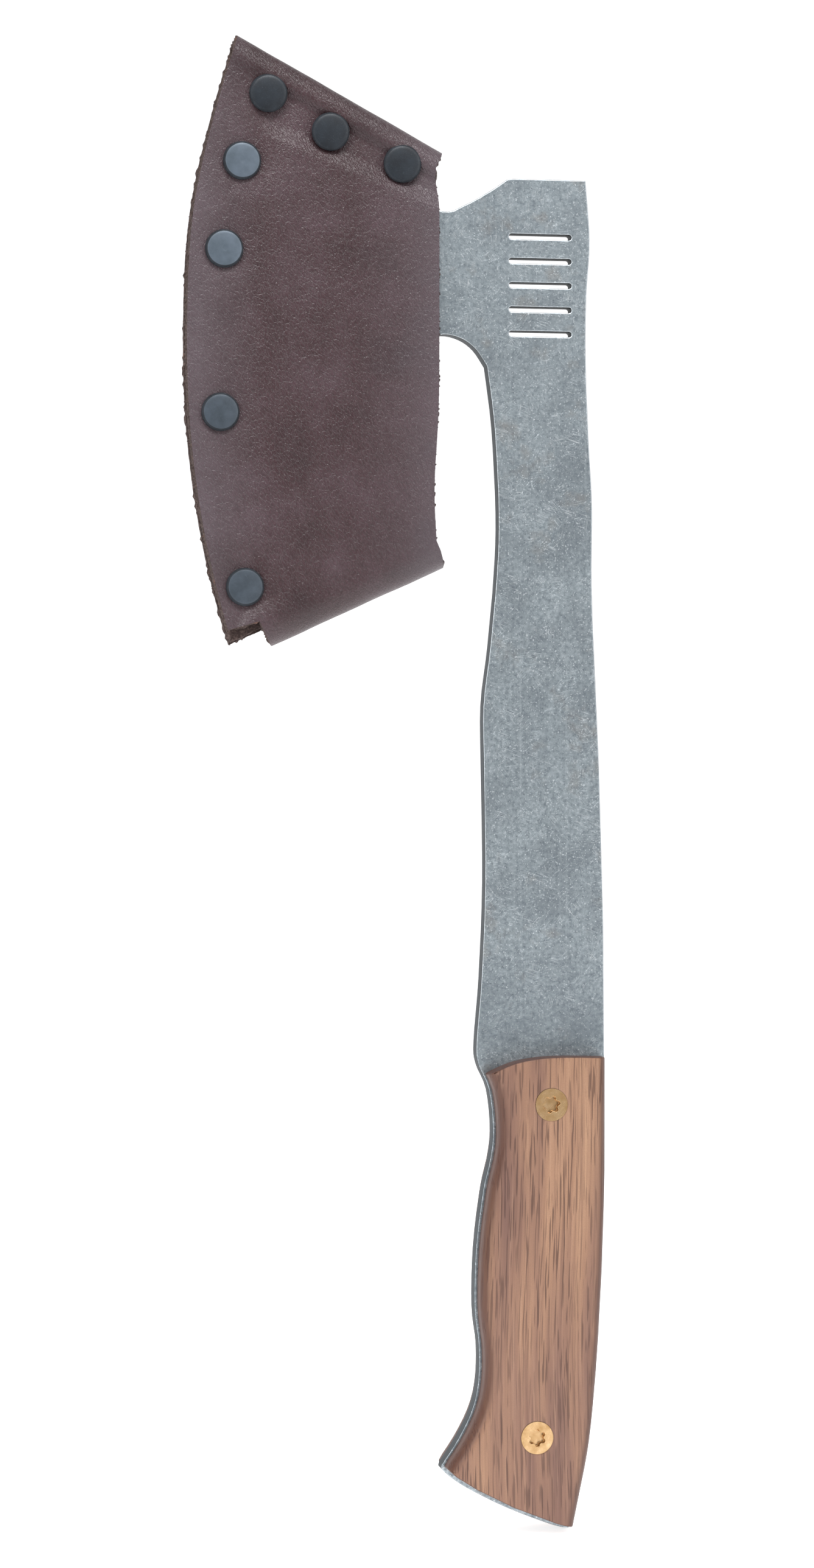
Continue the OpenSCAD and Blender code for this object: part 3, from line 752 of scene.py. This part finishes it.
# %% [markdown]
# ## A hide with real thickness
# A leather sheet is a grid of points, its outside, and a second grid one thickness below, its flesh side.
# What joins the two is the cut edge. It gets points of its own, pushed in and out a little, because a knife
# and wear leave it ragged.

# %% Ragged edges
def grid_normals(grid):
    """Outward directions of a grid of points."""
    across = np.gradient(grid, axis=1)
    along = np.gradient(grid, axis=0)
    n = np.cross(across, along)
    return n / np.maximum(np.linalg.norm(n, axis=2, keepdims=True), 1e-9)


def ragged(seed, i, scale=0.9):
    """Two waves of a cut edge's unevenness, for the point i on it."""
    wide = noise.noise(Vector((i * scale, seed * 3.7, 0.5)))
    return wide + 0.5 * noise.noise(Vector((i * scale * 2.7, seed, 9.5)))


def nick(seed, i):
    """Now and then the knife left a small burr."""
    return 0.45 if random.Random(seed * 4096 + i).random() < 0.07 else 0.0


print("ragged edge:", [round(ragged(1, i), 2) for i in range(5)])

# %% [markdown]
# ## One sheet, two sides
# The ring lists the border points once round. Each has a few points between the two sides, and quads join them
# layer by layer. A solidify modifier would be shorter, but its rim would be flat and straight.

# %% From a grid to a hide
def hide(name, grid, thick, calm, seed, layers=(0.12, 0.38, 0.66, 0.9)):
    """grid is rows x columns x 3 in mm, outside up. calm(row, column) is 0 where the cut edge stays plain."""
    rows, cols = grid.shape[:2]
    normal = grid_normals(grid)
    inner = grid - normal * thick
    ring = [(0, c) for c in range(cols)] + [(r, cols - 1) for r in range(1, rows)]
    ring += [(rows - 1, c) for c in range(cols - 2, -1, -1)] + [(r, 0) for r in range(rows - 2, 0, -1)]
    outward = []
    for r, c in ring:
        o = np.zeros(3)
        if r == 0:
            o += grid[0, c] - grid[1, c]
        if r == rows - 1:
            o += grid[-1, c] - grid[-2, c]
        if c == 0:
            o += grid[r, 0] - grid[r, 1]
        if c == cols - 1:
            o += grid[r, -1] - grid[r, -2]
        outward.append(o / max(np.linalg.norm(o), 1e-9))
    verts = [tuple(v) for v in (grid.reshape(-1, 3) * MM)] + [tuple(v) for v in (inner.reshape(-1, 3) * MM)]
    count = rows * cols
    for k, share in enumerate(layers):
        for i, (r, c) in enumerate(ring):
            amount = calm(r, c)
            swell = 0.16 * math.sin(math.pi * share)
            push = amount * (swell + 0.16 * ragged(seed + k * 5, i) + nick(seed + k, i))
            v = grid[r, c] * (1 - share) + inner[r, c] * share + outward[i] * push
            verts.append(tuple(v * MM))
    faces, slots = [], []
    for r in range(rows - 1):
        for c in range(cols - 1):
            a, b, d, e = r * cols + c, r * cols + c + 1, (r + 1) * cols + c + 1, (r + 1) * cols + c
            faces.append((a, b, d, e))
            slots.append(0)
            faces.append((count + e, count + d, count + b, count + a))
            slots.append(1)
    size = len(ring)

    def level(k, i):
        """The number of point i on layer k of the cut edge."""
        i %= size
        r, c = ring[i]
        if k == 0:
            return r * cols + c
        if k == len(layers) + 1:
            return count + r * cols + c
        return 2 * count + (k - 1) * size + i

    for k in range(len(layers) + 1):
        for i in range(size):
            faces.append((level(k, i), level(k + 1, i), level(k + 1, i + 1), level(k, i + 1)))
            slots.append(1)
    mesh = bpy.data.meshes.new(name)
    mesh.from_pydata(verts, [], faces)
    mesh.polygons.foreach_set("material_index", slots)
    mesh.polygons.foreach_set("use_smooth", [True] * len(faces))
    mesh.materials.append(leather)
    mesh.materials.append(raw_leather)
    mesh.update()
    bm = bmesh.new()
    bm.from_mesh(mesh)
    bmesh.ops.recalc_face_normals(bm, faces=bm.faces)
    bm.to_mesh(mesh)
    bm.free()
    mesh.set_sharp_from_angle(angle=math.radians(55))
    return add_object(name, mesh)


print("hide maker ready")

# %% [markdown]
# ## Filling four edges
# A panel has four edges, and the grid between them has to follow them all. A Coons patch blends the left and
# right edges, blends the bottom and top edges, adds the two and takes off the corners, which count twice.

# %% Grids between edges
def coons(left, right, bottom, top):
    """A grid of (x, z) points that fills four edges; left and right run up, bottom and top run right."""
    rows, cols = len(left), len(bottom)
    v = np.linspace(0, 1, rows)[:, None, None]
    u = np.linspace(0, 1, cols)[None, :, None]
    L, R = np.array(left)[:, None], np.array(right)[:, None]
    B, T = np.array(bottom)[None], np.array(top)[None]
    corners = ((1 - u) * (1 - v) * B[:, :1] + u * (1 - v) * B[:, -1:]
               + (1 - u) * v * T[:, :1] + u * v * T[:, -1:])
    return (1 - u) * L + u * R + (1 - v) * B + v * T - corners


def run(points, count):
    """count points spaced evenly along a line of corners, keeping every corner."""
    points = [np.array(p, float) for p in points]
    spans = [np.linalg.norm(b - a) for a, b in zip(points, points[1:])]
    counts = [max(1, round((count - 1) * s / sum(spans))) for s in spans]
    counts[-1] += (count - 1) - sum(counts)
    out = [points[0]]
    for a, b, n in zip(points, points[1:], counts):
        out += [a + (b - a) * (i + 1) / n for i in range(n)]
    return np.array(out)


def arc_up(low, high, count):
    """Points up the outer edge between two heights."""
    return np.array([(outer_x(z), z) for z in np.linspace(low, high, count)])


print("outer edge at mid height: x =", round(float(arc_up(200, 380, 3)[1][0]), 1))

# %% [markdown]
# ## Front, top fold and back in one sheet
# The sheet starts at the front's lower edge, climbs to the top, turns over the fold in half a circle and comes
# down the back. Each column keeps its place round the fold, so the surface runs over it without a seam.

# %% Edges of the front and back
COLS, FRONT_ROWS, FOLD_ROWS, BACK_ROWS = 140, 290, 18, 180
NOTCH = -93.3

notch_z = float(fold_point(0, ROLL_R)[1] + (NOTCH - fold_point(0, ROLL_R)[0]) * math.tan(FOLD_SLOPE))
low_left = meet_outer((NOTCH, notch_z), (-1, -math.tan(math.radians(16))))
top_left = meet_outer((-MOUTH, top_at(-MOUTH)), along_top)
top_right = (mouth_x(360), top_at(mouth_x(360)))
low_x = mouth_x(239.5)
low_right = (low_x, notch_z + (low_x - NOTCH) * math.tan(FOLD_SLOPE))


def mouth_edge(low, high, count):
    """Points up the open side between two heights."""
    return np.array([(mouth_x(z), z) for z in np.linspace(low, high, count)])


front = coons(arc_up(low_left[1], top_left[1], FRONT_ROWS),
              mouth_edge(low_right[1], top_right[1], FRONT_ROWS),
              run([low_left, (NOTCH, notch_z), low_right], COLS), run([top_left, top_right], COLS))
back_corner = fold_point(0, ROLL_R - BACK_DROP)
back_low = meet_outer(back_corner, -along_fold)
back_x = mouth_x(237)
back_low_right = (back_x, float(back_corner[1] + (back_x - back_corner[0]) * math.tan(FOLD_SLOPE)))
back = coons(arc_up(back_low[1], top_left[1], BACK_ROWS),
             mouth_edge(back_low_right[1], top_right[1], BACK_ROWS),
             run([back_low, back_low_right], COLS), run([top_left, top_right], COLS))
print("front and back grids:", front.shape, back.shape)

# %% [markdown]
# ## Relief that fades into the folds
# A fold is a clean half circle, so the relief has to be gone where it starts, or the leather would kink there.
# Two functions fall to 0 at the folds, and the relief is multiplied by them.

# %% The sheath's hide
def near_roll(p):
    """0 on the line where the bottom fold takes over, 1 from 6 mm above it."""
    inward = (np.array(p) - np.array([FOLD_X, FOLD_Z])) @ in_fold - ROLL_R
    return smooth01(inward / 6.0) if p[0] > NOTCH - 4 else smooth01(inward / 6.0 + (NOTCH - 4 - p[0]) / 6.0)


def fold_fade(p, line):
    """0 on the top fold's start, 1 from 5 mm below it."""
    return smooth01((line(p[0]) - p[1]) / 5.0)


def front_depth(x, z):
    """The front's relief, faded out towards both folds."""
    return sink(x, z, 1) * fold_fade((x, z), top_at) * near_roll((x, z))


def back_depth(x, z):
    """The back's relief, faded out towards the top fold and under the flap."""
    above_flap = smooth01(((np.array([x, z]) - np.array([FOLD_X, FOLD_Z])) @ in_fold - 52) / 12)
    return sink(x, z, -1) * fold_fade((x, z), top_at) * max(above_flap, 1 - smooth01((x + 97) / 8))


sheet = np.zeros((FRONT_ROWS + FOLD_ROWS + BACK_ROWS - 1, COLS, 3))
for r in range(FRONT_ROWS):
    for c in range(COLS):
        x, z = front[r, c]
        sheet[r, c] = (x, -SKIN + front_depth(x, z), z)
# the fold's left end leans outward as it rises, where the hide was cut on a slant
lean = 0.182
for k in range(1, FOLD_ROWS):
    angle = math.pi * k / FOLD_ROWS
    for c in range(COLS):
        u = c / (COLS - 1)
        rise = SKIN * math.sin(angle)
        base = front[-1, c] + out_top * rise + along_top * rise * lean * (1 - u) ** 6
        wobble = 0.12 * noise.noise(Vector((base[0] / 9, k / 3, 2.0)))
        x, z = base + out_top * wobble
        sheet[FRONT_ROWS - 1 + k, c] = (x, -SKIN * math.cos(angle), z)
for r in range(BACK_ROWS):
    for c in range(COLS):
        x, z = back[BACK_ROWS - 1 - r, c]
        sheet[FRONT_ROWS + FOLD_ROWS - 1 + r, c] = (x, SKIN - back_depth(x, z), z)


def sheath_calm(r, c):
    """The front's lower edge is plain where the bottom fold carries on from it."""
    return 0.0 if r == 0 and front[0, c][0] > NOTCH + 0.05 else 1.0


sheath_hide = hide("sheath_hide", sheet, THICK, sheath_calm, 1)
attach(sheath_hide, "sheath")
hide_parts("front_panel", "top_fold", "back_panel")
print("sheath hide:", len(sheath_hide.data.polygons), "faces")

# %% [markdown]
# ## The flap that bends
# Below the front the hide carries on: it rolls round the heel of the bit and lies on the back as a flap. It is
# made here as one mesh in its resting place, attached to neither the sheath nor the flap.

# %% The bottom fold and its flap
FLAP_COLS, ROLL_ROWS, FLAP_ROWS = 70, 30, 46
CORNER_R = 8.0

turn_length = math.pi * (ROLL_R - THICK / 2)
notch_along = float((np.array([NOTCH, notch_z]) - (FOLD_X, FOLD_Z)) @ along_fold)
mouth_along = float((np.array(low_right) - (FOLD_X, FOLD_Z)) @ along_fold)


def flap_ends(travel):
    """Left and right end along the fold, at a distance travelled from the front panel."""
    if travel < turn_length:
        t = travel / turn_length
        left = notch_along + (0.2 - notch_along) * smooth01(t)
        right = mouth_along + (FLAP_WIDTH - 0.2 - mouth_along) * smooth01(t)
    else:
        h = (travel - turn_length) / FLAP_HEIGHT
        left, right = 0.2 + FLAP_TAPER * h, FLAP_WIDTH - 0.2 - FLAP_TAPER * h
        corner = max(0.0, travel - turn_length - (FLAP_HEIGHT - CORNER_R)) / CORNER_R
        pull = CORNER_R * (1 - math.sqrt(max(0.0, 1 - min(corner, 1) ** 2)))
        left, right = left + pull, right - pull
    return left, right


strip = np.zeros((ROLL_ROWS + FLAP_ROWS, FLAP_COLS, 3))
for r in range(ROLL_ROWS + FLAP_ROWS):
    if r < ROLL_ROWS:
        angle = math.pi * r / (ROLL_ROWS - 1)
        y, inward = ROLL_Y - ROLL_R * math.cos(angle), ROLL_R - ROLL_R * math.sin(angle)
        travel = turn_length * r / ROLL_ROWS
    else:
        t = (r - ROLL_ROWS + 1) / FLAP_ROWS
        t = math.sin(t * math.pi / 2) * 0.35 + t * 0.65
        y, inward = FLAP_INSIDE + THICK, ROLL_R + FLAP_HEIGHT * t
        travel = turn_length + FLAP_HEIGHT * t
    left, right = flap_ends(travel)
    for c in range(FLAP_COLS):
        along = right + (left - right) * c / (FLAP_COLS - 1)
        slow = noise.noise(Vector((along / 14, travel / 10, 21)))
        quick = noise.noise(Vector((along / 4, travel / 5, 4)))
        soft = smooth01(travel / 9) * (0.16 * slow + 0.05 * quick)
        out = -1 if y < ROLL_Y else 1
        sag = (soft if r < ROLL_ROWS else 0) * math.sin(math.pi * min(travel / turn_length, 1))
        x, z = fold_point(along, inward + sag)
        strip[r, c] = (x, y + out * soft * 0.5 * abs(y - ROLL_Y) / ROLL_R, z)


def flap_calm(r, c):
    """The strip is plain where it leaves the front panel."""
    return 0.0 if r == 0 else 1.0


flap_hide = hide("flap_hide", strip, THICK, flap_calm, 2)
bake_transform(flap_hide)
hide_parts("flap_fold", "closing_flap")
print("flap hide:", len(flap_hide.data.polygons), "faces")

# %% [markdown]
# ## The welt
# Between the panels, just outside the cutting edge, lies a strip of leather that the edge can't cut its way
# past. Only its outer edge shows, as the middle layer of three.

# %% The welt between the panels
WELT_ROWS, WELT_COLS = 240, 12
WELT_LOW, WELT_HIGH = 212.5, 391.0
welt_grid = np.zeros((WELT_ROWS, WELT_COLS, 3))
for r in range(WELT_ROWS):
    t = r / (WELT_ROWS - 1)
    for c in range(WELT_COLS):
        u = c / (WELT_COLS - 1)
        z_out = (back_low[1] + 0.6) * (1 - t) + (top_left[1] - 0.4) * t
        edge = np.array([outer_x(z_out) + 0.35, z_out])
        z_in = WELT_LOW * (1 - t) + WELT_HIGH * t
        reach = (BIT_R + 1) ** 2 - (z_in - BIT_CENTRE[1]) ** 2
        limit = np.array([BIT_CENTRE[0] - math.sqrt(reach), z_in])
        x, z = edge * (1 - u) + limit * u
        gap = INSIDE - min(sink(x, z, 1), 1.2) * 0.5 - 0.05
        welt_grid[r, c] = (x, -gap, z)


def welt_calm(r, c):
    """Roughest along the outside, where it shows."""
    return 1.5 if c == 0 else 0.6


welt = hide("edge_welt_hide", welt_grid, 2 * (INSIDE - 0.35), welt_calm, 3,
            layers=(0.06, 0.18, 0.32, 0.5, 0.68, 0.82, 0.94))
welt.data.materials.clear()
welt.data.materials.append(raw_leather)
welt.data.materials.append(raw_leather)
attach(welt, "sheath")
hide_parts("edge_welt")
print("welt:", len(welt.data.polygons), "faces")

# %% [markdown]
# ## Turned caps
# A rivet cap is one profile spun round its axis, as on a lathe. The crown is shallow, the shoulder is tight and
# the rim tucks under. Crown and rim take different finishes, which draws the thin dark line round every cap.

# %% Profile and lathe
SHOULDER_R, POST_R = 5.55, 1.5
CAP_SIDE = [(5.84, 1.34), (6.06, 1.08), (6.19, 0.74), (6.25, 0.36), (6.22, 0.04), (6.02, -0.22), (5.6, -0.34)]


def cap_profile(dimple):
    """A low dome; dimple is the depth of the small hollow some caps show at the middle."""
    crown = []
    for share in (0.0, 0.06, 0.12, 0.17, 0.22, 0.3, 0.42, 0.56, 0.7, 0.85, 1.0):
        hollow = dimple * (1 - smooth01((share - 0.08) / 0.14))
        crown.append((SHOULDER_R * share, 1.9 - 0.42 * share ** 2.2 - hollow))
    return crown + CAP_SIDE


def with_post(profile, end):
    """The same cap with its pin, which ends at a height below the rim."""
    return profile + [(POST_R, -0.36), (POST_R, end), (0.0, end)]


def lathe(name, profile, centre, direction, material, steps=72):
    """Spins (radius, height) pairs in mm round an axis along Y; direction -1 faces the front."""
    verts, faces = [], []
    rings = []
    for radius, height in profile:
        if radius < 1e-6:
            verts.append((centre[0], centre[1] + direction * height, centre[2]))
            rings.append([len(verts) - 1])
            continue
        ring = []
        for i in range(steps):
            a = 2 * math.pi * i / steps
            verts.append((centre[0] + radius * math.cos(a), centre[1] + direction * height,
                          centre[2] + radius * math.sin(a)))
            ring.append(len(verts) - 1)
        rings.append(ring)
    for low, high in zip(rings, rings[1:]):
        for i in range(steps):
            j = (i + 1) % steps
            quad = [low[i % len(low)], low[j % len(low)], high[j % len(high)], high[i % len(high)]]
            faces.append(tuple(dict.fromkeys(quad)))
    if len(rings[-1]) > 1:
        faces.append(tuple(rings[-1]))
    mesh = bpy.data.meshes.new(name)
    mesh.from_pydata([(x * MM, y * MM, z * MM) for x, y, z in verts], [], faces)
    bm = bmesh.new()
    bm.from_mesh(mesh)
    bmesh.ops.recalc_face_normals(bm, faces=bm.faces)
    bm.to_mesh(mesh)
    bm.free()
    mesh.polygons.foreach_set("use_smooth", [True] * len(mesh.polygons))
    mesh.set_sharp_from_angle(angle=math.radians(60))
    mesh.materials.append(material)
    mesh.materials.append(rim_metal)
    for face in mesh.polygons:
        away = math.hypot(face.center.x / MM - centre[0], face.center.z / MM - centre[2])
        face.material_index = int(away > SHOULDER_R)
    return add_object(name, mesh)


print("cap profile:", len(cap_profile(0)), "points")

# %% [markdown]
# ## Caps in their places
# Each rivet has a cap on the front and one on the back, which carries the pin through the hide. Both sit as
# deep as the leather has sunk there. Two front caps show a small hollow and have a lighter grey painted in as
# reflected light, two more have less, and the first three stay black. The snaps' parts ride on the flap or stay
# on the sheath, as the solids do.

# %% Rivets and snap caps
# how much painted reflection each front cap gets
CAP_PAINTED_REFLECTION = [black_metal] * 3 + [painted_reflection_metal] * 2 + [dim_painted_reflection_metal] * 2
DIMPLES = [0, 0, 0, 0.09, 0.11, 0, 0]
DEEPEST, PIN_END, SNAP_PIN_END = 1.2, -12.4, -2.9
for i, (x, z) in enumerate(rivets, start=1):
    seat = (x, -SKIN + min(front_depth(x, z), DEEPEST), z)
    cap = lathe(f"front_cap_{i}", cap_profile(DIMPLES[i - 1]), seat, -1, CAP_PAINTED_REFLECTION[i - 1])
    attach(cap, "sheath")
    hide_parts(f"rivet_cap_{i}")
    depth = back_depth(x, z)
    post = with_post(cap_profile(0), PIN_END + depth)
    back_cap = lathe(f"back_cap_{i}", post, (x, SKIN - min(depth, DEEPEST), z), 1, black_metal)
    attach(back_cap, "sheath")
    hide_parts(f"rivet_post_{i}")

for i in (1, 2):
    low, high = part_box(f"snap_cap_{i}")
    cx, cz = (low.x + high.x) / 2 / MM, (low.z + high.z) / 2 / MM
    snap = lathe(f"snap_cap_look_{i}", with_post(cap_profile(0), SNAP_PIN_END),
                 (cx, FLAP_INSIDE + THICK, cz), 1, black_metal)
    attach(snap, "flap")
    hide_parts(f"snap_cap_{i}")
    for node in (f"snap_stud_{i}", f"snap_eyelet_{i}", f"snap_socket_{i}"):
        softened(node, 0.12 * MM, black_metal)
print("caps ready")

# %% [markdown]
# ## Loose fibres
# Cut leather frays. A few hundred hairs, each a thin curved taper, stand out of the cut edges. They are far
# too small to count one by one, but without them the edges look like plastic.

# %% Fibres on the cut edges
def fibre(verts, faces, root, direction, length, radius, bend):
    """One hair: a three-sided taper of three lengths, curved by bend."""
    side = direction.cross(Vector((0, 1, 0.3))).normalized()
    up = direction.cross(side).normalized()
    start = len(verts)
    for k in range(4):
        t = k / 3
        centre = root + direction * length * t + (side * bend[0] + up * bend[1]) * length * t * t
        r = radius * (1 - 0.8 * t)
        for a in range(3):
            angle = 2 * math.pi * a / 3
            verts.append(centre + side * r * math.cos(angle) + up * r * math.sin(angle))
    for k in range(3):
        for a in range(3):
            b = (a + 1) % 3
            p = start + 3 * k
            faces.append((p + a, p + b, p + 3 + b, p + 3 + a))
    faces.append((start + 2, start + 1, start))
    faces.append((start + 9, start + 10, start + 11))


def fibres_along(name, rows, outward, count, seed):
    """Many hairs, rooted at random on short lines along a cut edge."""
    rng = random.Random(seed)
    verts, faces = [], []
    for _ in range(count):
        a, b = rng.choice(rows)
        root = Vector(a).lerp(Vector(b), rng.random()) * MM
        stray = Vector((rng.gauss(0, 0.5), rng.gauss(0, 0.7), rng.gauss(0, 0.7)))
        direction = (Vector(outward) + stray).normalized()
        length = rng.uniform(0.25, 0.9) * (2.2 if rng.random() < 0.06 else 1) * MM
        fibre(verts, faces, root - direction * 0.1 * MM, direction, length, rng.uniform(0.03, 0.06) * MM,
              (rng.uniform(-0.7, 0.7), rng.uniform(-0.7, 0.7)))
    mesh = bpy.data.meshes.new(name)
    mesh.from_pydata([tuple(v) for v in verts], [], faces)
    mesh.materials.append(raw_leather)
    piece = add_object(name, mesh)
    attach(piece, "sheath")
    return piece


def edge_lines(column, depths):
    """Short lines along one side of the front, at several depths into the cut edge, in mm."""
    return [(sheet[r, column] + (0, d, 0), sheet[r + 1, column] + (0, d, 0))
            for r in range(FRONT_ROWS - 1) for d in depths]


left_rows = edge_lines(0, (0.6, 1.8, 3.0, 6.0, 9.0))
right_rows = edge_lines(-1, (0.6, 1.5, 2.6))
fibres_along("left_fibres", left_rows, (-1, 0, 0), 260, 5)
fibres_along("right_fibres", right_rows, (1, 0, 0), 110, 6)
print("fibres ready")

# %% [markdown]
# ## Sizes and the last line
# The looks must not change the object's size; the solid's box, taken at the start, is printed here.

# %% Print the solid's box
print("cad", [[round(v, 4) for v in c] for c in cad_box])
